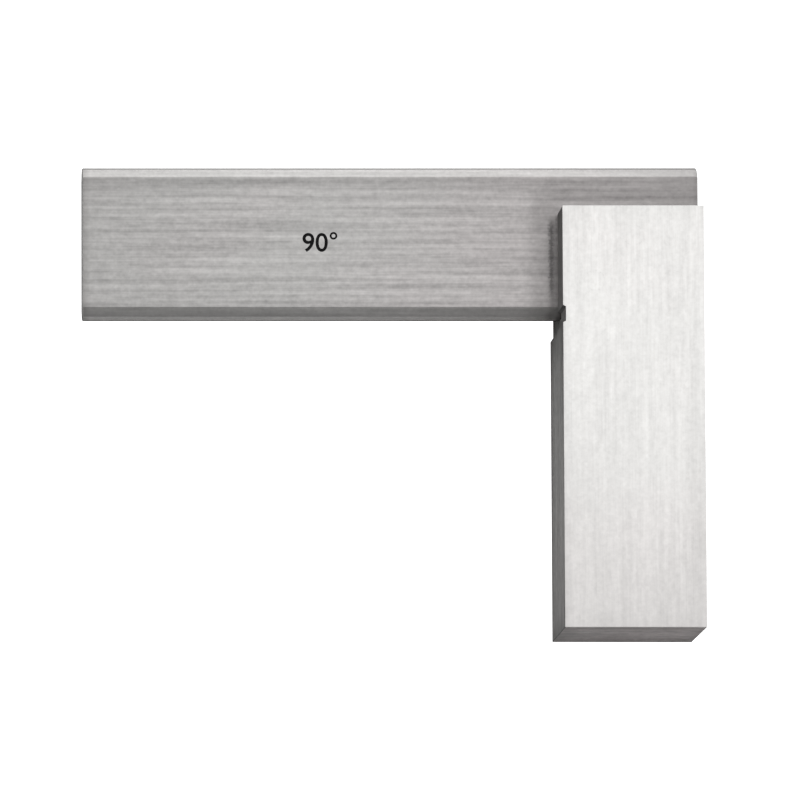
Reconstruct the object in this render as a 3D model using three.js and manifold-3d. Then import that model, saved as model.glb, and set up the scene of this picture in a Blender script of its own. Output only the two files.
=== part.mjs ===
// Bevel-edge steel square: a flat blade held at right angles in the slotted head of a thick beam.
// Units are millimetres. The square lies on one side face of the beam, with +Z up. +X runs from
// the free end of the blade to the beam, and +Y from the free end of the beam to its head.
// The origin is the centre of the side face that the beam lies on.

import * as THREE from 'three';
import { mergeVertices } from 'three/addons/utils/BufferGeometryUtils.js';
import Module from 'manifold-3d';

// Driving dimensions of the blade
const BLADE_REACH = 76.2; // from the beam's inner face to the free end: the 3 inch size
const BLADE_WIDTH = 24.8;
const BLADE_THICKNESS = 4.0;
const BEVEL_WIDTH = 1.8; // each long edge is ground thin from both sides
const FINE_BEVEL_WIDTH = 0.45; // steeper part of each bevel, along the very edge
const FINE_BEVEL_RISE = 0.75;
const EDGE_LAND = 0.6; // flat that the bevels leave along the edge
const BLADE_END_BREAK = 0.25; // chamfer round both ends

// Driving dimensions of the beam
const BEAM_WIDTH = 22.5;
const BEAM_THICKNESS = 15.9;
const HEAD_LENGTH = 17.0; // beam above the blade's inner edge, where the slot is
const TAIL_LENGTH = 50.8; // beam below the blade's inner edge: 2 inches
const BEAM_EDGE_BREAK = 0.25; // rounding along the edges of both side faces
const BEAM_CORNER_RADIUS = 0.45; // rounding of the four edges that run through the thickness
const EDGE_STEPS = 3; // facets round one broken edge

// Relief groove across the beam's inner face, which clears a burr in the inside corner
const RELIEF_DEPTH = 0.45;
const RELIEF_ABOVE = 0.7; // from the blade's inner edge to the groove's end in the upper cheek
const RELIEF_ABOVE_LOW = 2.0; // the same in the lower cheek, where the groove runs further
const RELIEF_BELOW = 1.6; // from the blade's inner edge to the groove's lower end
const RELIEF_END_SLOPE = 0.25; // how far each end leans out towards the mouth

// Pins through the beam's cheeks and the blade, ground flush with both side faces
const PIN_DIAMETER = 3.2;
const PIN_STEPS = 48; // facets round a pin and round its hole
const PIN_SPREAD = 6.2; // the lower two pins stand this far to either side of the centre line
const LOWER_PIN_HEIGHT = 4.9; // above the blade's inner edge
const UPPER_PIN_HEIGHT = 12.2;
const FIT_GAP = 0.02; // play left round the blade in its slot and round each pin

// Places worked out from the dimensions
const BEAM_LENGTH = HEAD_LENGTH + TAIL_LENGTH;
const BLADE_LENGTH = BLADE_REACH + BEAM_WIDTH;
const MID_HEIGHT = BEAM_THICKNESS / 2;
const INNER_FACE_X = -BEAM_WIDTH / 2;
const OUTER_FACE_X = BEAM_WIDTH / 2;
const BLADE_INNER_Y = BEAM_LENGTH / 2 - HEAD_LENGTH;
const CUT_ALLOWANCE = 1.0; // how far a cutting shape passes through the surface it opens

// Finishes: bare ground steel, brighter on the beam, where the grain lies across the light
const BEAM_STEEL = { color: 0xe9e8e6, roughness: 0.42, metalness: 1.0, flatShading: true };
const BLADE_STEEL = { color: 0xb0adab, roughness: 0.38, metalness: 1.0, flatShading: true };
const PIN_STEEL = { color: 0xdddbd9, roughness: 0.42, metalness: 1.0, flatShading: true };

const wasm = await Module();
wasm.setup();

// A closed three.js geometry, with its shared vertices merged, as a solid that can be cut
function solidFrom(geometry) {
  const bare = geometry.clone();
  bare.deleteAttribute('normal');
  bare.deleteAttribute('uv');
  const welded = mergeVertices(bare, 1e-5);
  return new wasm.Manifold(new wasm.Mesh({
    numProp: 3,
    vertProperties: new Float32Array(welded.attributes.position.array),
    triVerts: new Uint32Array(welded.index.array),
  }));
}

// Cuts every tool out of a body; body and tools are geometries in the square's own frame
function cut(body, tools) {
  let solid = solidFrom(body);
  for (const tool of tools) {
    solid = solid.subtract(solidFrom(tool));
  }
  const { vertProperties, triVerts } = solid.getMesh();
  const geometry = new THREE.BufferGeometry();
  geometry.setAttribute('position', new THREE.BufferAttribute(vertProperties, 3));
  geometry.setIndex(new THREE.BufferAttribute(triVerts, 1));
  return geometry;
}

function piece(name, geometry, finish) {
  const mesh = new THREE.Mesh(geometry, new THREE.MeshStandardMaterial(finish));
  mesh.name = name;
  return mesh;
}

// Centres of the pins, as seen on the beam's side face
const PIN_PLACES = {
  pin_inner: [-PIN_SPREAD, BLADE_INNER_Y + LOWER_PIN_HEIGHT],
  pin_outer: [PIN_SPREAD, BLADE_INNER_Y + LOWER_PIN_HEIGHT],
  pin_head: [0, BLADE_INNER_Y + UPPER_PIN_HEIGHT],
};

// A round bar standing up through the whole thickness of the beam
function uprightBar(diameter, length, [x, y]) {
  const bar = new THREE.CylinderGeometry(diameter / 2, diameter / 2, length, PIN_STEPS);
  bar.rotateX(Math.PI / 2);
  bar.translate(x, y, MID_HEIGHT);
  return bar;
}

function pinHoles() {
  const diameter = PIN_DIAMETER + 2 * FIT_GAP;
  const length = BEAM_THICKNESS + 2 * CUT_ALLOWANCE;
  return Object.values(PIN_PLACES).map((place) => uprightBar(diameter, length, place));
}

// The beam's side face: a rectangle with slightly rounded corners
function beamFace() {
  const [x, y, r] = [BEAM_WIDTH / 2, BEAM_LENGTH / 2, BEAM_CORNER_RADIUS];
  const face = new THREE.Shape();
  face.absarc(x - r, y - r, r, 0, Math.PI / 2);
  face.absarc(-x + r, y - r, r, Math.PI / 2, Math.PI);
  face.absarc(-x + r, -y + r, r, Math.PI, 1.5 * Math.PI);
  face.absarc(x - r, -y + r, r, 1.5 * Math.PI, 2 * Math.PI);
  return face;
}

// The solid bar that the beam is cut from, with both side faces' edges rounded over
function beamBar() {
  const bar = new THREE.ExtrudeGeometry(beamFace(), {
    depth: BEAM_THICKNESS - 2 * BEAM_EDGE_BREAK,
    curveSegments: EDGE_STEPS,
    bevelThickness: BEAM_EDGE_BREAK,
    bevelSize: BEAM_EDGE_BREAK,
    bevelOffset: -BEAM_EDGE_BREAK,
    bevelSegments: EDGE_STEPS,
  });
  bar.translate(0, 0, BEAM_EDGE_BREAK);
  return bar;
}

// Slot for the blade, open at the head and at both narrow faces
function bladeSlot() {
  const length = BEAM_WIDTH + 2 * CUT_ALLOWANCE;
  const height = HEAD_LENGTH + FIT_GAP + CUT_ALLOWANCE;
  const slot = new THREE.BoxGeometry(length, height, BLADE_THICKNESS + 2 * FIT_GAP);
  slot.translate(0, BLADE_INNER_Y - FIT_GAP + height / 2, MID_HEIGHT);
  return slot;
}

// The part of the relief groove between two heights, which ends at a distance above the blade's edge
function reliefGroove(bottom, top, above) {
  const floorX = INNER_FACE_X + RELIEF_DEPTH;
  const mouthX = INNER_FACE_X - CUT_ALLOWANCE;
  const slopePerDepth = RELIEF_END_SLOPE / RELIEF_DEPTH;
  const lean = slopePerDepth * (RELIEF_DEPTH + CUT_ALLOWANCE);
  const upper = BLADE_INNER_Y + above;
  const lower = BLADE_INNER_Y - RELIEF_BELOW;
  const outline = new THREE.Shape([
    new THREE.Vector2(floorX, lower),
    new THREE.Vector2(floorX, upper),
    new THREE.Vector2(mouthX, upper + lean),
    new THREE.Vector2(mouthX, lower - lean),
  ]);
  const groove = new THREE.ExtrudeGeometry(outline, { depth: top - bottom, bevelEnabled: false });
  groove.translate(0, 0, bottom);
  return groove;
}

// The groove's two parts overlap inside the slot, where its upper end doesn't touch the beam
function makeBeam() {
  const tools = [
    bladeSlot(),
    reliefGroove(MID_HEIGHT - CUT_ALLOWANCE, BEAM_THICKNESS + CUT_ALLOWANCE, RELIEF_ABOVE),
    reliefGroove(-CUT_ALLOWANCE, MID_HEIGHT + CUT_ALLOWANCE, RELIEF_ABOVE_LOW),
    ...pinHoles(),
  ];
  return piece('beam', cut(beamBar(), tools), BEAM_STEEL);
}

// Section of the blade across its length: flat sides, and both edges ground thin from each side
// in two steps. In the section, x is the height from the blade's middle plane, and y runs across
// the blade.
function bladeSection() {
  const side = BLADE_THICKNESS / 2;
  const land = EDGE_LAND / 2;
  const steps = [
    [land, 0],
    [land + FINE_BEVEL_RISE, FINE_BEVEL_WIDTH],
    [side, BEVEL_WIDTH],
  ];
  const upper = [...steps, ...steps.map(([x, y]) => [x, BLADE_WIDTH - y]).reverse()];
  const lower = upper.map(([x, y]) => [-x, y]).reverse();
  return new THREE.Shape([...upper, ...lower].map(([x, y]) => new THREE.Vector2(x, y)));
}

function makeBlade() {
  const bar = new THREE.ExtrudeGeometry(bladeSection(), {
    depth: BLADE_LENGTH - 2 * BLADE_END_BREAK,
    bevelThickness: BLADE_END_BREAK,
    bevelSize: BLADE_END_BREAK,
    bevelOffset: -BLADE_END_BREAK,
    bevelSegments: 1,
  });
  bar.rotateY(-Math.PI / 2);
  bar.translate(OUTER_FACE_X - BLADE_END_BREAK, BLADE_INNER_Y, MID_HEIGHT);
  return piece('blade', cut(bar, pinHoles()), BLADE_STEEL);
}

function makePins() {
  return Object.entries(PIN_PLACES).map(([name, place]) => (
    piece(name, uprightBar(PIN_DIAMETER, BEAM_THICKNESS, place), PIN_STEEL)
  ));
}

const square = new THREE.Group();
square.add(makeBeam(), makeBlade(), ...makePins());

export default square;
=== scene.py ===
"""Looks of the bevel-edge steel square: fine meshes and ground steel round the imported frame."""

import math

import bmesh
import bpy
from mathutils import Matrix, Vector


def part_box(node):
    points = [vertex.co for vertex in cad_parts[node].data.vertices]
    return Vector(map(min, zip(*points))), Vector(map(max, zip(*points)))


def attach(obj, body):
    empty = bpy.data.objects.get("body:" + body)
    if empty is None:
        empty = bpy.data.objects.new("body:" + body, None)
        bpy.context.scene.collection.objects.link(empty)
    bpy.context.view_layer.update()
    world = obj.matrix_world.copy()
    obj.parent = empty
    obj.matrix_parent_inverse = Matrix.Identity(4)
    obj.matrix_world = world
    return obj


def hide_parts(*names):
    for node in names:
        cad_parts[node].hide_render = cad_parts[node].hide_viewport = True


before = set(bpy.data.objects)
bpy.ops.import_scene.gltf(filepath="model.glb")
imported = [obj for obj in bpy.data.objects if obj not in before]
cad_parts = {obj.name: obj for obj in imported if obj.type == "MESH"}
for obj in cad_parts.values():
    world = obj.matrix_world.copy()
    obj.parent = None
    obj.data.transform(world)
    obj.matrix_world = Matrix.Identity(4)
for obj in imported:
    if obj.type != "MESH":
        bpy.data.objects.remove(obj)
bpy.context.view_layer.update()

BODY = "root"
MM = 0.001

# Places from the frame
BEAM_LOW, BEAM_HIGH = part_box("beam")
BLADE_LOW, BLADE_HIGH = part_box("blade")
PIN_NODES = ("pin_inner", "pin_outer", "pin_head")
PIN_BOXES = {node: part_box(node) for node in PIN_NODES}
BLADE_MIDDLE_Z = (BLADE_LOW.z + BLADE_HIGH.z) / 2

# Details of the shapes
FIT_GAP = 0.02 * MM  # play round the blade in its slot
BEAM_CORNER = 0.45 * MM  # rounding of the edges through the beam's thickness
BEAM_EDGE = 0.25 * MM  # rounding along the beam's side faces
CUT_EDGE = 0.07 * MM  # burr removed along the slot and the relief groove
HOLE_EDGE = 0.004 * MM  # hairline seam round each flush pin
PIN_GAP = 0.003 * MM
ROUNDING_STEPS = 4
BLADE_BEVEL = 1.8 * MM
BLADE_LAND = 0.6 * MM
FINE_BEVEL = 0.45 * MM  # steeper part of each bevel, along the very edge
FINE_BEVEL_RISE = 0.75 * MM
BLADE_END_EDGE = 0.25 * MM
BLADE_LONG_EDGE = 0.06 * MM
RELIEF_DEPTH = 0.45 * MM
RELIEF_ABOVE = 0.7 * MM  # from the blade's inner edge to the groove's end in the upper cheek
RELIEF_ABOVE_LOW = 2.0 * MM  # the same in the lower cheek
RELIEF_BELOW = 1.6 * MM
RELIEF_END_SLOPE = 0.25 * MM
PIN_STEPS = 96
OVERCUT = 1.0 * MM  # how far a cutter passes through the surface it opens
SHARP_ANGLE = math.radians(12)
SAME_PLACE = 0.001 * MM
LARGE_FACE = (1.0 * MM) ** 2
STRAIGHT = 0.999  # cosine, for a face that looks along an axis

# The etched mark
MARK_TEXT = "90\N{DEGREE SIGN}"
MARK_HEIGHT = 3.2 * MM
MARK_DEPTH = 0.05 * MM
MARK_WEIGHT = 0.05 * MM  # strokes are this much fatter on each side than the built-in font's
MARK_CURVE_STEPS = 8
BUILT_IN_CAP_HEIGHT = 0.73  # height of a digit in the built-in font at size 1

# Ground steel. Sizes, spans and lengths are in millimetres, and tones are shares of the colour
X_AXIS, Y_AXIS, Z_AXIS = (1.0, 0.0, 0.0), (0.0, 1.0, 0.0), (0.0, 0.0, 1.0)
# The beam's colours are painted much lighter than the blade's. This is painted light and shade for
# one steel that catches the light differently along its two grains.
BEAM_COLOURS = (0.86, 0.852, 0.836), (0.866, 0.845, 0.832)  # plain steel, and its rosy parts
BLADE_COLOURS = (0.51, 0.502, 0.493), (0.516, 0.492, 0.488)
END_FACE = 0.7  # cosine between the normal and the grain, above which a face is an end face
UPRIGHT_FACE = 0.3  # height of the unit normal, below which a face is upright
LYING_FACE = 0.9  # the same, above which a face lies flat
TILT_SPAN = (0.9, 0.98)  # largest part of the unit normal, from bevels to faces along an axis
BEVEL_CONTRAST = 0.55  # share of the grain's contrast that is left on the bevels
ROSY_ON_BEVELS = 0.3  # share of the rosy tint that is left on the bevels
ROSY_WANDER = 2.0  # how far the clouds push that tint up and down
FINE_DEPTH = 0.5  # depth of the fine scratches, as a share of the long lines' depth
SPOT_SIZE = 0.45
EDGE_REACH = 3.2  # distance from an edge over which its painted shade fades
EDGE_WANDER = 0.6  # how far the spots push the shaded edges in and out
ETCH_GRAIN = 1 / 12
ETCH_TONE = 0.01

# Painted shade and a line of grime round the joint, the box where the blade is inside the beam
JOINT_LOW = Vector((BEAM_LOW.x, BLADE_LOW.y, BLADE_LOW.z)) / MM
JOINT_HIGH = Vector((BEAM_HIGH.x, BEAM_HIGH.y, BLADE_HIGH.z)) / MM
MOST_DARKENING = 0.92
JOINT_ROUGHNESS = 0.15  # added where the painted shade and grime are full
NEAR_SHADE_SPAN = (2.5, 6.5)  # distance from the joint, to fade over
CORNER_SPAN = (4.0, 12.0)  # the same on the narrow faces
CORNER_SHADE_ELSEWHERE = 0.3  # share of that painted shade that is left away from the inside corner
INNER_SIDE_SPAN = (JOINT_LOW.x, JOINT_LOW.x + 3.0)
BESIDE_BLADE_SPAN = (JOINT_LOW.y - 1.0, JOINT_LOW.y + 3.0)
TIDE_LINE = 1.05  # distance of the tide line from the joint
TIDE_WIDTH = 0.65
TIDE_WANDER = 1.1  # how far the spots push the line in and out
TIDE_START_SPAN = (JOINT_LOW.y + 1.0, JOINT_LOW.y + 7.0)
TIDE_AT_START = 0.2
TIDE_END_SPAN = (JOINT_HIGH.y - 2.0, JOINT_HIGH.y)
GROOVE_SPAN = (1.0, 2.8)  # distance from the inside corner
GROOVE_TONE = 0.7

# Streaks are given as (size, length), and dark bands as (axis, place, reach, share of the tone lost)
BLADE_FINISH = {
    "fine": (0.3, 6.0), "lines": (0.9, 40.0), "dashes": (0.9, 2.2),
    "clouds": 22.0, "blotches": 0.6,
    "fine_tone": 0.3, "lines_tone": 0.8, "dashes_tone": 0.4,
    "clouds_tone": 0.12, "blotches_tone": 0.36,
    # the brightest place along the piece, and the reach and depth of the painted shade away from it
    "bright_middle": -46.0, "shade_reach": 48.0, "shade_depth": 0.12,
    "dark_bands": [
        (0, BLADE_LOW.x / MM, 1.4, 0.2),
        (0, BLADE_HIGH.x / MM, 1.0, 0.15),
        (1, BLADE_HIGH.y / MM - 2.0, 4.0, 0.14),
        (1, BLADE_LOW.y / MM, 3.0, 0.37),
    ],
    # end, narrow, bevel and corner tones are painted light and shade on faces by the way they look
    "end_tone": 1.0, "narrow_tone": 1.0, "bevel_tone": 1.52, "corner_tone": 1.0,
    # the two edge tones are painted shade towards the edges
    "narrow_contrast": 1.5, "narrow_edge": 0.1, "face_edge": 0.0,
    # painted shade near the joint and in the inside corner, and a tide line of grime
    "near_shade": 0.2, "corner_shade": 0.0, "tide": 0.38,
    "rosy_span": (-60.0, -10.0), "end_tint": (1.0, 1.0, 1.0),
    "roughness": 0.36, "rough_tone": 0.1, "anisotropy": 0.6,
    "bump": 0.2, "bump_depth": 0.01 * MM,
}
BEAM_FINISH = {
    "fine": (0.3, 6.0), "lines": (0.85, 24.0), "dashes": (0.85, 2.0),
    "clouds": 18.0, "blotches": 0.6,
    "fine_tone": 0.13, "lines_tone": 0.25, "dashes_tone": 0.18,
    "clouds_tone": 0.05, "blotches_tone": 0.2,
    # the brightest place along the piece, and the reach and depth of the painted shade away from it
    "bright_middle": 16.0, "shade_reach": 50.0, "shade_depth": 0.18,
    "dark_bands": [],
    # end, narrow, bevel and corner tones are painted light and shade on faces by the way they look
    "end_tone": 1.46, "narrow_tone": 0.75, "bevel_tone": 1.06, "corner_tone": 0.45,
    # the two edge tones are painted shade towards the edges
    "narrow_contrast": 3.2, "narrow_edge": 0.24, "face_edge": 0.04,
    # painted shade near the joint and in the inside corner, and a tide line of grime
    "near_shade": 0.0, "corner_shade": 0.7, "tide": 0.0,
    "rosy_span": (2.0, -22.0), "end_tint": (1.0, 0.96, 0.97),
    "roughness": 0.38, "rough_tone": 0.08, "anisotropy": 0.6,
    "bump": 0.2, "bump_depth": 0.01 * MM,
}

# Camera: a long lens from above, shifted sideways, at the photographed angle
CAMERA_PLACE = (-0.12825, -0.16896, 0.90123)
CAMERA_TURN = (3.7640, 0.7560, 0.1159)  # degrees
CAMERA_LENS = 252.68  # mm, on a 36 mm sensor
CAMERA_SHIFT = {"shift_x": 0.80942, "shift_y": 0.88604}

# Studio: radiance of the surroundings, dim on the near left and bright on the far right
BRIGHT_WAY = (0.3, 0.954, 0.0)
DIM_SIDE, BRIGHT_SIDE = 0.23, 1.14
DIM_FROM, BRIGHT_FROM = -0.2, 0.2  # cosine of the angle to the bright way
BACKDROP = 1.2
HORIZON_GLOW = 0.75
GLOW_TO, GLOW_FROM = 0.05, 0.4  # sine of the height above the horizon
STEEP_TONE, SHALLOW_TONE = 0.285, 0.84  # the floor's tone in the steel's reflections
STEEP_FROM, STEEP_TO = 0.4, 0.8  # cosine of the mirrored ray's angle from the vertical
FLOOR_HALF_SIZE = 4.0
FLOOR_SEEN = 1.1
FLOOR_BURNT_OUT = 1.5  # brightness of the floor seen from straight above, where it is overexposed
BURN_FROM, BURN_TO = 0.8, 0.93  # cosine of the view's angle from the vertical
WHITE = (1, 1, 1, 1)


# ---------------------------------------------------------------- mesh helpers

def link(name, mesh):
    piece = bpy.data.objects.new(name, mesh)
    bpy.context.scene.collection.objects.link(piece)
    return piece


def mesh_from(bm, name):
    bmesh.ops.recalc_face_normals(bm, faces=bm.faces)
    mesh = bpy.data.meshes.new(name)
    bm.to_mesh(mesh)
    bm.free()
    return mesh


def prism(name, outline, sweep):
    """A closed prism: the outline's points swept along a vector."""
    bm = bmesh.new()
    face = bm.faces.new([bm.verts.new(point) for point in outline])
    swept = bmesh.ops.extrude_face_region(bm, geom=[face])["geom"]
    moved = [item for item in swept if isinstance(item, bmesh.types.BMVert)]
    bmesh.ops.translate(bm, verts=moved, vec=sweep)
    return mesh_from(bm, name)


def block(name, low, high):
    outline = [
        (low.x, low.y, low.z),
        (high.x, low.y, low.z),
        (high.x, high.y, low.z),
        (low.x, high.y, low.z),
    ]
    return prism(name, outline, Vector((0, 0, high.z - low.z)))


def round_bar(name, box, extra_radius=0.0, extra_length=0.0):
    """An upright cylinder that fills a pin's box, grown by the extra sizes."""
    low, high = box
    centre = (low + high) / 2
    radius = (high.x - low.x) / 2 + extra_radius
    base = low.z - extra_length
    outline = []
    for step in range(PIN_STEPS):
        angle = math.tau * step / PIN_STEPS
        across = radius * math.cos(angle)
        along = radius * math.sin(angle)
        outline.append((centre.x + across, centre.y + along, base))
    return prism(name, outline, Vector((0, 0, high.z - low.z + 2 * extra_length)))


def bake_modifiers(piece):
    depsgraph = bpy.context.evaluated_depsgraph_get()
    mesh = bpy.data.meshes.new_from_object(piece.evaluated_get(depsgraph))
    piece.modifiers.clear()
    piece.data = mesh


def cut(piece, cutter_meshes):
    """Cuts meshes out of a piece. Faces that a cutter leaves keep the cutter's own material."""
    cutters = [link(mesh.name, mesh) for mesh in cutter_meshes]
    for cutter in cutters:
        boolean = piece.modifiers.new("cut", "BOOLEAN")
        boolean.operation = "DIFFERENCE"
        boolean.solver = "EXACT"
        boolean.material_mode = "TRANSFER"
        boolean.object = cutter
    bake_modifiers(piece)
    for cutter in cutters:
        bpy.data.objects.remove(cutter)


def round_edges(piece, radius_of):
    """Rounds each sharp edge by the radius that radius_of gives for its two ends."""
    mesh = piece.data
    bm = bmesh.new()
    bm.from_mesh(mesh)
    sharp = {}
    for edge in bm.edges:
        if edge.calc_face_angle(0.0) > SHARP_ANGLE:
            sharp[edge.index] = radius_of(edge.verts[0].co, edge.verts[1].co)
    bm.free()
    largest = max(sharp.values())
    weights = mesh.attributes.new("bevel_weight_edge", "FLOAT", "EDGE")
    for index, radius in sharp.items():
        weights.data[index].value = radius / largest
    bevel = piece.modifiers.new("round", "BEVEL")
    bevel.limit_method = "WEIGHT"
    bevel.width = largest
    bevel.segments = ROUNDING_STEPS
    bake_modifiers(piece)


def shade(piece):
    """Flat faces stay flat, and the narrow strips of a rounded edge are smooth."""
    for face in piece.data.polygons:
        straight = max(abs(part) for part in face.normal) > STRAIGHT
        face.use_smooth = face.area < LARGE_FACE and not straight


# ---------------------------------------------------------------- shapes

def on_plane(a, b, axis, places):
    """True when both points lie on one of two planes across an axis."""
    return any(
        abs(a[axis] - place) < SAME_PLACE and abs(b[axis] - place) < SAME_PLACE
        for place in places
    )


def beam_edge_radius(a, b):
    outer = [on_plane(a, b, axis, (BEAM_LOW[axis], BEAM_HIGH[axis])) for axis in range(3)]
    if outer[0] and outer[1]:
        return BEAM_CORNER
    if sum(outer) == 2:
        return BEAM_EDGE
    if near_pin(a) and near_pin(b):
        return HOLE_EDGE
    return CUT_EDGE


def near_pin(point):
    for low, high in PIN_BOXES.values():
        centre = (low + high) / 2
        away = math.hypot(point.x - centre.x, point.y - centre.y)
        if away < (high.x - low.x) / 2 + 2 * PIN_GAP:
            return True
    return False


def pin_hole_cutters():
    return [
        round_bar(f"{node}_hole", box, extra_radius=PIN_GAP, extra_length=OVERCUT)
        for node, box in PIN_BOXES.items()
    ]


def slot_cutter():
    low = Vector((BEAM_LOW.x - OVERCUT, BLADE_LOW.y - FIT_GAP, BLADE_LOW.z - FIT_GAP))
    high = Vector((BEAM_HIGH.x + OVERCUT, BEAM_HIGH.y + OVERCUT, BLADE_HIGH.z + FIT_GAP))
    return block("slot", low, high)


def relief_cutter(name, bottom, top, above):
    """The relief groove between two heights, which ends at a distance above the blade's edge."""
    floor_x = BEAM_LOW.x + RELIEF_DEPTH
    mouth_x = BEAM_LOW.x - OVERCUT
    lean = RELIEF_END_SLOPE * (floor_x - mouth_x) / RELIEF_DEPTH
    upper = BLADE_LOW.y + above
    lower = BLADE_LOW.y - RELIEF_BELOW
    outline = [
        (floor_x, lower, bottom),
        (floor_x, upper, bottom),
        (mouth_x, upper + lean, bottom),
        (mouth_x, lower - lean, bottom),
    ]
    return prism(name, outline, Vector((0, 0, top - bottom)))


def relief_cutters():
    """Both parts overlap inside the slot, where the groove's upper end doesn't touch the beam."""
    top, bottom = BEAM_HIGH.z + OVERCUT, BEAM_LOW.z - OVERCUT
    return [
        relief_cutter("relief_high", BLADE_MIDDLE_Z - OVERCUT, top, RELIEF_ABOVE),
        relief_cutter("relief_low", bottom, BLADE_MIDDLE_Z + OVERCUT, RELIEF_ABOVE_LOW),
    ]


def make_beam():
    beam = link("ground_beam", block("ground_beam", BEAM_LOW, BEAM_HIGH))
    cut(beam, [slot_cutter(), *relief_cutters(), *pin_hole_cutters()])
    round_edges(beam, beam_edge_radius)
    return beam


def blade_edge_radius(a, b):
    if on_plane(a, b, 0, (BLADE_LOW.x, BLADE_HIGH.x)):
        return BLADE_END_EDGE
    if near_pin(a) and near_pin(b):
        return HOLE_EDGE
    return BLADE_LONG_EDGE


def mark_cutter(etch):
    """The etched mark as a solid that sinks into the blade's upper face, at its free middle."""
    text = bpy.data.curves.new("mark", "FONT")
    text.body = MARK_TEXT
    text.size = (MARK_HEIGHT - 2 * MARK_WEIGHT) / BUILT_IN_CAP_HEIGHT
    text.offset = MARK_WEIGHT
    text.extrude = MARK_DEPTH
    text.resolution_u = MARK_CURVE_STEPS
    shape = link("mark", text)
    depsgraph = bpy.context.evaluated_depsgraph_get()
    mesh = bpy.data.meshes.new_from_object(shape.evaluated_get(depsgraph))
    bpy.data.objects.remove(shape)
    corners = [vertex.co for vertex in mesh.vertices]
    middle_x = (min(c.x for c in corners) + max(c.x for c in corners)) / 2
    middle_y = (min(c.y for c in corners) + max(c.y for c in corners)) / 2
    free_middle_x = (BLADE_LOW.x + BEAM_LOW.x) / 2
    free_middle_y = (BLADE_LOW.y + BLADE_HIGH.y) / 2
    move = Vector((free_middle_x - middle_x, free_middle_y - middle_y, BLADE_HIGH.z))
    mesh.transform(Matrix.Translation(move))
    bm = bmesh.new()
    bm.from_mesh(mesh)
    bmesh.ops.remove_doubles(bm, verts=bm.verts, dist=SAME_PLACE)
    bmesh.ops.recalc_face_normals(bm, faces=bm.faces)
    bm.to_mesh(mesh)
    bm.free()
    mesh.materials.clear()
    mesh.materials.append(etch)
    for face in mesh.polygons:
        face.material_index = 0
    return mesh


def blade_section():
    """Points (y, z) round the blade: flat sides, and two bevel steps on each side of each edge."""
    steps = [
        (0.0, BLADE_LAND / 2),
        (FINE_BEVEL, BLADE_LAND / 2 + FINE_BEVEL_RISE),
        (BLADE_BEVEL, BLADE_HIGH.z - BLADE_MIDDLE_Z),
    ]
    low, high = BLADE_LOW.y, BLADE_HIGH.y
    upper = [(low + y, z) for y, z in steps] + [(high - y, z) for y, z in reversed(steps)]
    lower = [(y, -z) for y, z in reversed(upper)]
    return [(y, BLADE_MIDDLE_Z + z) for y, z in upper + lower]


def make_blade(steel, etch):
    outline = [(BLADE_LOW.x, y, z) for y, z in blade_section()]
    length = Vector((BLADE_HIGH.x - BLADE_LOW.x, 0, 0))
    blade = link("bevelled_blade", prism("bevelled_blade", outline, length))
    cut(blade, pin_hole_cutters())
    round_edges(blade, blade_edge_radius)
    blade.data.materials.clear()
    blade.data.materials.append(steel)
    cut(blade, [mark_cutter(etch)])
    return blade


def make_pins():
    pins = {}
    for node, box in PIN_BOXES.items():
        pin = link(f"flush_{node}", round_bar(f"flush_{node}", box))
        round_edges(pin, lambda a, b: HOLE_EDGE)
        pins[node] = pin
    return pins


# ---------------------------------------------------------------- node helpers

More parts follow.
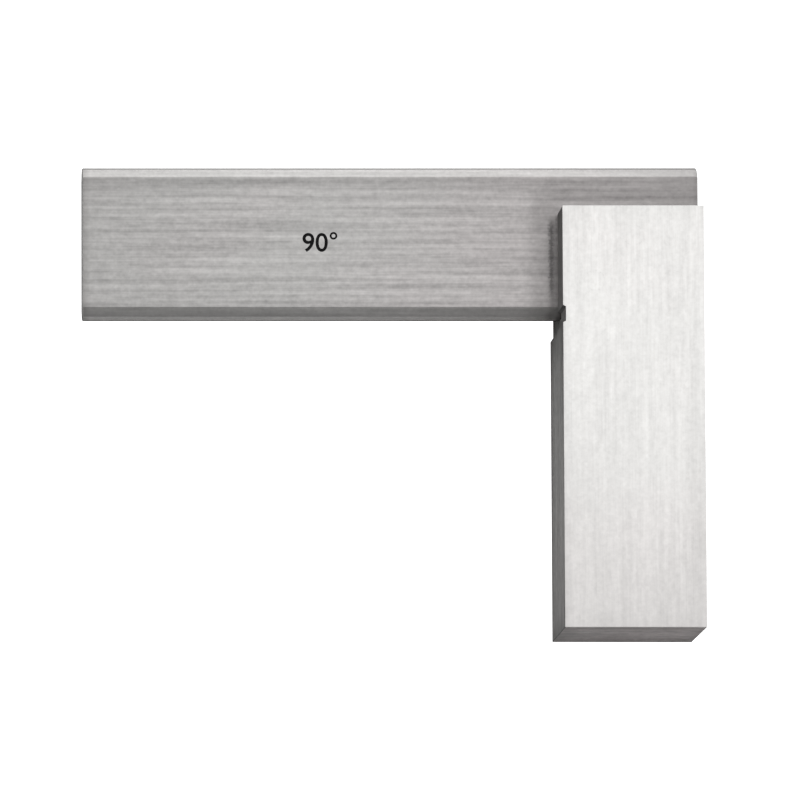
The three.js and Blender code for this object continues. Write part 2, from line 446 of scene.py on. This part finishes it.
class Nodes:
    """A short way to write a material's or a world's nodes."""

    def __init__(self, tree):
        self.tree = tree
        tree.nodes.clear()

    def add(self, kind, inputs=None, **settings):
        node = self.tree.nodes.new(kind)
        for name, value in settings.items():
            setattr(node, name, value)
        for name, value in (inputs or {}).items():
            self.set(node.inputs[name], value)
        return node

    def set(self, socket, value):
        if isinstance(value, bpy.types.NodeSocket):
            self.tree.links.new(value, socket)
        else:
            socket.default_value = value

    def math(self, operation, a, b=0.0, clamp=False):
        node = self.add("ShaderNodeMath", operation=operation, use_clamp=clamp)
        self.set(node.inputs[0], a)
        self.set(node.inputs[1], b)
        return node.outputs[0]

    def total(self, *values):
        result = values[0]
        for value in values[1:]:
            result = self.math("ADD", result, value)
        return result

    def product(self, *values):
        result = values[0]
        for value in values[1:]:
            result = self.math("MULTIPLY", result, value)
        return result

    def one_minus(self, share):
        """What is left of 1 when a share is taken away."""
        return self.math("SUBTRACT", 1.0, share)

    def centred(self, value, amount):
        """A value between 0 and 1, moved to lie evenly about 0."""
        return self.product(self.math("SUBTRACT", value, 0.5), amount)

    def parts(self, vector):
        return self.add("ShaderNodeSeparateXYZ", {"Vector": vector}).outputs

    def grey(self, tone):
        node = self.add("ShaderNodeCombineColor", {"Red": tone, "Green": tone, "Blue": tone})
        return node.outputs["Color"]

    def place_in_mm(self):
        return self.scaled(self.add("ShaderNodeTexCoord").outputs["Object"], 1.0 / MM)

    def finish_with(self, kind, shader):
        output = self.add(kind)
        self.set(output.inputs["Surface"], shader)

    def mix_values(self, factor, a, b):
        node = self.add("ShaderNodeMix", data_type="FLOAT")
        self.set(node.inputs[0], factor)
        self.set(node.inputs[2], a)
        self.set(node.inputs[3], b)
        return node.outputs[0]

    def smooth_step(self, value, start, end, low, high):
        node = self.add("ShaderNodeMapRange", {
            "Value": value, "From Min": start, "From Max": end, "To Min": low, "To Max": high,
        }, interpolation_type="SMOOTHSTEP")
        return node.outputs["Result"]

    def vector(self, operation, a, b=(0.0, 0.0, 0.0)):
        node = self.add("ShaderNodeVectorMath", operation=operation)
        self.set(node.inputs[0], a)
        self.set(node.inputs[1], b)
        is_number = operation in ("DOT_PRODUCT", "LENGTH")
        return node.outputs["Value" if is_number else "Vector"]

    def scaled(self, a, scale):
        node = self.add("ShaderNodeVectorMath", operation="SCALE")
        self.set(node.inputs[0], a)
        self.set(node.inputs["Scale"], scale)
        return node.outputs["Vector"]

    def mix_vectors(self, factor, a, b):
        node = self.add("ShaderNodeMix", data_type="VECTOR")
        self.set(node.inputs["Factor"], factor)
        self.set(node.inputs[4], a)
        self.set(node.inputs[5], b)
        return node.outputs[1]

    def noise(self, place, scale, detail=2.0, roughness=0.5):
        """Noise between 0 and 1; scale is features per unit of place."""
        node = self.add("ShaderNodeTexNoise", {
            "Vector": place, "Scale": scale, "Detail": detail, "Roughness": roughness,
        })
        return node.outputs["Fac"]


# ---------------------------------------------------------------- materials

class SteelNodes(Nodes):
    """Nodes of surface-ground steel on a bar that fills a box. A tone is a share of its colour."""

    def __init__(self, tree, box, grain, end_grain, finish):
        """grain is the axis that the scratches follow, end_grain the one on end faces."""
        super().__init__(tree)
        self.low, self.high = (corner / MM for corner in box)
        self.finish = finish
        self.place = self.place_in_mm()
        self.x, self.y, _ = self.parts(self.place)
        self.find_faces(grain)
        self.direction = self.mix_vectors(self.on_end, grain, end_grain)
        self.along = self.vector("DOT_PRODUCT", self.place, self.direction)
        self.lengthwise = self.vector("DOT_PRODUCT", self.place, grain)
        self.fine = self.streaks(*finish["fine"], detail=3.0)
        self.lines = self.streaks(*finish["lines"])
        self.dashes = self.streaks(*finish["dashes"])
        self.clouds = self.noise(self.place, 1.0 / finish["clouds"])
        self.spots = self.noise(self.place, 1.0 / SPOT_SIZE, detail=3.0, roughness=0.7)

    def find_faces(self, grain):
        geometry = self.add("ShaderNodeNewGeometry").outputs
        self.normal = geometry["Normal"]
        face_normal = geometry["True Normal"]
        facing = self.math("ABSOLUTE", self.vector("DOT_PRODUCT", face_normal, grain))
        self.on_end = self.math("GREATER_THAN", facing, END_FACE)
        turned = self.parts(self.vector("ABSOLUTE", face_normal))
        self.upright = self.math("LESS_THAN", turned[2], UPRIGHT_FACE)
        self.lying = self.math("GREATER_THAN", turned[2], LYING_FACE)
        larger = self.math("MAXIMUM", turned[1], turned[2])
        self.straightness = self.math("MAXIMUM", turned[0], larger)

    def streaks(self, size, length, detail=2.0):
        """Noise drawn out along the grain; size and length of a streak are in millimetres."""
        pull = self.product(self.along, size / length - 1.0)
        drawn_out = self.vector("ADD", self.place, self.scaled(self.direction, pull))
        return self.noise(drawn_out, 1.0 / size, detail)

    def where_tilted(self, value):
        """The value on bevels and rounded edges, and 1 on faces that look along an axis."""
        return self.smooth_step(self.straightness, *TILT_SPAN, value, 1.0)

    def grain_tone(self):
        """Streaks and blotches, which stand out most on the narrow faces and least on bevels."""
        finish = self.finish
        narrow = self.mix_values(self.upright, 1.0, finish["narrow_contrast"])
        narrow = self.product(narrow, self.where_tilted(BEVEL_CONTRAST))
        streaks = self.total(
            self.centred(self.fine, finish["fine_tone"]),
            self.centred(self.lines, finish["lines_tone"]),
            self.centred(self.dashes, finish["dashes_tone"]),
        )
        blotches = self.noise(self.place, 1.0 / finish["blotches"])
        blotches = self.centred(blotches, finish["blotches_tone"])
        uneven = self.total(0.5, self.clouds)
        return self.total(
            1.0,
            self.product(streaks, uneven, narrow),
            self.centred(self.clouds, finish["clouds_tone"]),
            self.product(blotches, self.math("SQRT", narrow)),
        )

    def painted_lengthwise_shade(self):
        """Painted shade, a little darker towards both ends of the piece. Also darker in bands beside
        given planes.
        """
        finish = self.finish
        offset = self.math("SUBTRACT", self.lengthwise, finish["bright_middle"])
        offset = self.math("DIVIDE", offset, finish["shade_reach"])
        tone = self.one_minus(self.product(offset, offset, finish["shade_depth"]))
        for axis, at, reach, amount in finish["dark_bands"]:
            away = self.math("ABSOLUTE", self.math("SUBTRACT", (self.x, self.y)[axis], at))
            tone = self.product(tone, self.smooth_step(away, 0.0, reach, 1.0 - amount, 1.0))
        return tone

    def painted_face_light(self):
        """Painted light and shade by the way a face looks: end faces, narrow faces, bevels and
        upright corners each get their own tone.
        """
        finish = self.finish
        tilted = self.mix_values(self.upright, finish["bevel_tone"], finish["corner_tone"])
        return self.product(
            self.mix_values(self.on_end, 1.0, finish["end_tone"]),
            self.mix_values(self.upright, 1.0, finish["narrow_tone"]),
            self.where_tilted(tilted),
        )

    def painted_edge_shade(self):
        """Painted shade: the faces darken towards their edges, where two of the box's sides are near.
        """
        middle, reach = (self.low + self.high) / 2, (self.high - self.low) / 2
        from_middle = self.vector("ABSOLUTE", self.vector("SUBTRACT", self.place, middle))
        depth = self.parts(self.vector("SUBTRACT", reach, from_middle))
        nearer = self.math("MINIMUM", depth[0], depth[1])
        further = self.math("MAXIMUM", depth[0], depth[1])
        from_edge = self.math("MAXIMUM", nearer, self.math("MINIMUM", further, depth[2]))
        wandering = self.total(from_edge, self.centred(self.spots, EDGE_WANDER))
        near_edge = self.smooth_step(wandering, 0.0, EDGE_REACH, 1.0, 0.0)
        darkening = self.mix_values(self.upright, self.finish["face_edge"], self.finish["narrow_edge"])
        return self.one_minus(self.product(near_edge, darkening))

    def joint_shade_and_grime(self):
        """Share of darkening round the joint: painted shade that fades away from the joint, painted
        shade in the beam's inside corner, and a spotty tide line of grime on the blade.
        """
        finish = self.finish
        middle, reach = (JOINT_LOW + JOINT_HIGH) / 2, (JOINT_HIGH - JOINT_LOW) / 2
        from_middle = self.vector("ABSOLUTE", self.vector("SUBTRACT", self.place, middle))
        outside = self.vector("SUBTRACT", from_middle, reach)
        from_joint = self.vector("LENGTH", self.vector("MAXIMUM", outside))
        near_shade = self.smooth_step(from_joint, *NEAR_SHADE_SPAN, finish["near_shade"], 0.0)
        corner = self.product(
            self.smooth_step(from_joint, *CORNER_SPAN, finish["corner_shade"], 0.0),
            self.upright,
            self.smooth_step(self.x, *INNER_SIDE_SPAN, 1.0, CORNER_SHADE_ELSEWHERE),
            self.smooth_step(self.y, *BESIDE_BLADE_SPAN, CORNER_SHADE_ELSEWHERE, 1.0),
        )
        off_line = self.math("ABSOLUTE", self.math("SUBTRACT", from_joint, TIDE_LINE))
        off_line = self.total(off_line, self.centred(self.spots, TIDE_WANDER))
        tide = self.product(
            self.smooth_step(off_line, 0.0, TIDE_WIDTH, finish["tide"], 0.0),
            self.smooth_step(self.y, *TIDE_START_SPAN, TIDE_AT_START, 1.0),
            self.smooth_step(self.y, *TIDE_END_SPAN, 1.0, 0.0),
        )
        return self.total(near_shade, corner, tide)

    def painted_groove_shade(self):
        """Painted shade in the relief groove, darkest in the inside corner. Faces that lie flat are
        left out.
        """
        from_groove = self.vector("SUBTRACT", self.place, (JOINT_LOW.x, JOINT_LOW.y, 0.0))
        from_groove = self.vector("LENGTH", self.vector("MULTIPLY", from_groove, (1.0, 1.0, 0.0)))
        groove_shade = self.smooth_step(from_groove, *GROOVE_SPAN, GROOVE_TONE, 1.0)
        return self.math("MAXIMUM", groove_shade, self.lying)

    def tint(self, colours):
        """From the first colour to the rosier second one along the piece, most on its end face."""
        rosy = self.smooth_step(self.lengthwise, *self.finish["rosy_span"], 0.0, 1.0)
        rosy = self.math("ADD", rosy, self.centred(self.clouds, ROSY_WANDER), clamp=True)
        rosy = self.product(rosy, self.where_tilted(ROSY_ON_BEVELS))
        rosy_end = self.product(self.on_end, rosy)
        end_tint = self.mix_vectors(rosy_end, (1.0, 1.0, 1.0), self.finish["end_tint"])
        return self.vector("MULTIPLY", self.mix_vectors(rosy, *colours), end_tint)


def ground_steel(name, box, colours, grain, end_grain, finish):
    material = bpy.data.materials.new(name)
    material.use_nodes = True
    n = SteelNodes(material.node_tree, box, grain, end_grain, finish)
    darkening = n.joint_shade_and_grime()
    # Most of the tone is painted light and shade: by face, along the piece, at the edges, round the
    # joint and in the groove. The grain and the tide line are the steel's own.
    tone = n.product(
        n.grain_tone(),
        n.painted_lengthwise_shade(),
        n.painted_face_light(),
        n.painted_edge_shade(),
        n.one_minus(n.math("MINIMUM", darkening, MOST_DARKENING)),
        n.painted_groove_shade(),
    )
    rough = n.total(
        finish["roughness"],
        n.centred(n.clouds, finish["rough_tone"]),
        n.centred(n.fine, finish["rough_tone"]),
        n.product(darkening, JOINT_ROUGHNESS),
    )
    bump = n.add("ShaderNodeBump", {
        "Strength": finish["bump"],
        "Distance": finish["bump_depth"],
        "Height": n.total(n.product(n.fine, FINE_DEPTH), n.lines),
    })
    shader = n.add("ShaderNodeBsdfPrincipled", {
        "Base Color": n.scaled(n.tint(colours), tone),
        "Metallic": 1.0,
        "Roughness": rough,
        "Anisotropic": finish["anisotropy"],
        "Tangent": n.vector("CROSS_PRODUCT", n.normal, n.direction),
        "Normal": bump.outputs["Normal"],
    })
    n.finish_with("ShaderNodeOutputMaterial", shader.outputs["BSDF"])
    return material


def etched_black():
    material = bpy.data.materials.new("etched_black")
    material.use_nodes = True
    n = Nodes(material.node_tree)
    grains = n.noise(n.place_in_mm(), 1.0 / ETCH_GRAIN, detail=3.0)
    bump = n.add("ShaderNodeBump", {"Strength": 0.4, "Distance": 0.01 * MM, "Height": grains})
    shader = n.add("ShaderNodeBsdfPrincipled", {
        "Base Color": n.grey(n.product(grains, ETCH_TONE)),
        "Roughness": 0.7,
        "Specular IOR Level": 0.15,
        "Normal": bump.outputs["Normal"],
    })
    n.finish_with("ShaderNodeOutputMaterial", shader.outputs["BSDF"])
    return material


# ---------------------------------------------------------------- stage

def make_floor():
    """Pale floor that burns out to white from above. The steel mirrors a dimmer one."""
    half = FLOOR_HALF_SIZE
    level = BEAM_LOW.z - SAME_PLACE
    corners = [(-half, -half, level), (half, -half, level), (half, half, level), (-half, half, level)]
    mesh = bpy.data.meshes.new("floor")
    mesh.from_pydata(corners, [], [(0, 1, 2, 3)])
    floor = link("floor", mesh)
    material = bpy.data.materials.new("pale_floor")
    material.use_nodes = True
    n = Nodes(material.node_tree)
    seen = n.add("ShaderNodeLightPath").outputs["Is Camera Ray"]
    geometry = n.add("ShaderNodeNewGeometry")
    steepness = n.vector("DOT_PRODUCT", geometry.outputs["Incoming"], Z_AXIS)
    mirrored = n.smooth_step(steepness, STEEP_FROM, STEEP_TO, SHALLOW_TONE, STEEP_TONE)
    paper = n.add("ShaderNodeBsdfDiffuse", {
        "Color": n.grey(n.mix_values(seen, mirrored, FLOOR_SEEN)),
    })
    glow = n.add("ShaderNodeEmission", {"Color": WHITE, "Strength": FLOOR_BURNT_OUT})
    burnt = n.smooth_step(steepness, BURN_FROM, BURN_TO, 0.0, 1.0)
    mix = n.add("ShaderNodeMixShader", {"Fac": n.product(burnt, seen)})
    n.set(mix.inputs[1], paper.outputs["BSDF"])
    n.set(mix.inputs[2], glow.outputs["Emission"])
    n.finish_with("ShaderNodeOutputMaterial", mix.outputs["Shader"])
    mesh.materials.append(material)
    floor.visible_shadow = False  # so that light from below the horizon also reaches the steel


def make_world():
    """Soft daylight studio: bright behind the square, dim on the near side, a white backdrop."""
    world = bpy.data.worlds.new("studio")
    bpy.context.scene.world = world
    world.use_nodes = True
    n = Nodes(world.node_tree)
    direction = n.add("ShaderNodeTexCoord").outputs["Generated"]
    towards = n.vector("DOT_PRODUCT", direction, BRIGHT_WAY)
    ramp = n.smooth_step(towards, DIM_FROM, BRIGHT_FROM, DIM_SIDE, BRIGHT_SIDE)
    height = n.parts(direction)[2]
    walls = n.smooth_step(height, GLOW_TO, GLOW_FROM, HORIZON_GLOW, 0.0)
    light = n.math("MAXIMUM", ramp, walls)
    seen = n.add("ShaderNodeLightPath").outputs["Is Camera Ray"]
    strength = n.math("MAXIMUM", light, n.product(seen, BACKDROP))
    background = n.add("ShaderNodeBackground", {"Color": WHITE, "Strength": strength})
    n.finish_with("ShaderNodeOutputWorld", background.outputs["Background"])


def make_camera():
    data = bpy.data.cameras.new("camera")
    data.lens = CAMERA_LENS
    camera = bpy.data.objects.new("camera", data)
    bpy.context.scene.collection.objects.link(camera)
    bpy.context.scene.camera = camera
    camera.location = CAMERA_PLACE
    camera.rotation_mode = "ZYX"
    camera.rotation_euler = [math.radians(turn) for turn in CAMERA_TURN]
    shift_lens_at_home(camera)


def shift_lens_at_home(camera):
    """The lens is shifted only in the camera's home place. Anywhere else it is centred."""
    near = 1.0 * MM
    for path, shift in CAMERA_SHIFT.items():
        driver = camera.data.driver_add(path).driver
        height = driver.variables.new()
        height.name = "height"
        height.targets[0].id = camera
        height.targets[0].data_path = "location.z"
        driver.expression = f"{shift} if abs(height - {CAMERA_PLACE[2]}) < {near} else 0"


# ---------------------------------------------------------------- assembly

def fit_to_frame(piece, nodes, material=None):
    if material is not None:
        piece.data.materials.clear()
        piece.data.materials.append(material)
    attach(piece, BODY)
    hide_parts(*nodes)


def make_square():
    beam_look = (BEAM_LOW, BEAM_HIGH), BEAM_COLOURS, Y_AXIS, X_AXIS, BEAM_FINISH
    blade_look = (BLADE_LOW, BLADE_HIGH), BLADE_COLOURS, X_AXIS, Y_AXIS, BLADE_FINISH
    beam_steel = ground_steel("beam_steel", *beam_look)
    blade_steel = ground_steel("blade_steel", *blade_look)
    pin_steel = ground_steel("pin_steel", *beam_look)

    beam = make_beam()
    shade(beam)
    fit_to_frame(beam, ["beam"], beam_steel)

    blade = make_blade(blade_steel, etched_black())
    shade(blade)
    fit_to_frame(blade, ["blade"])

    for node, pin in make_pins().items():
        shade(pin)
        fit_to_frame(pin, [node], pin_steel)


make_square()
make_floor()
make_world()
make_camera()
bpy.context.scene.view_settings.view_transform = "Standard"
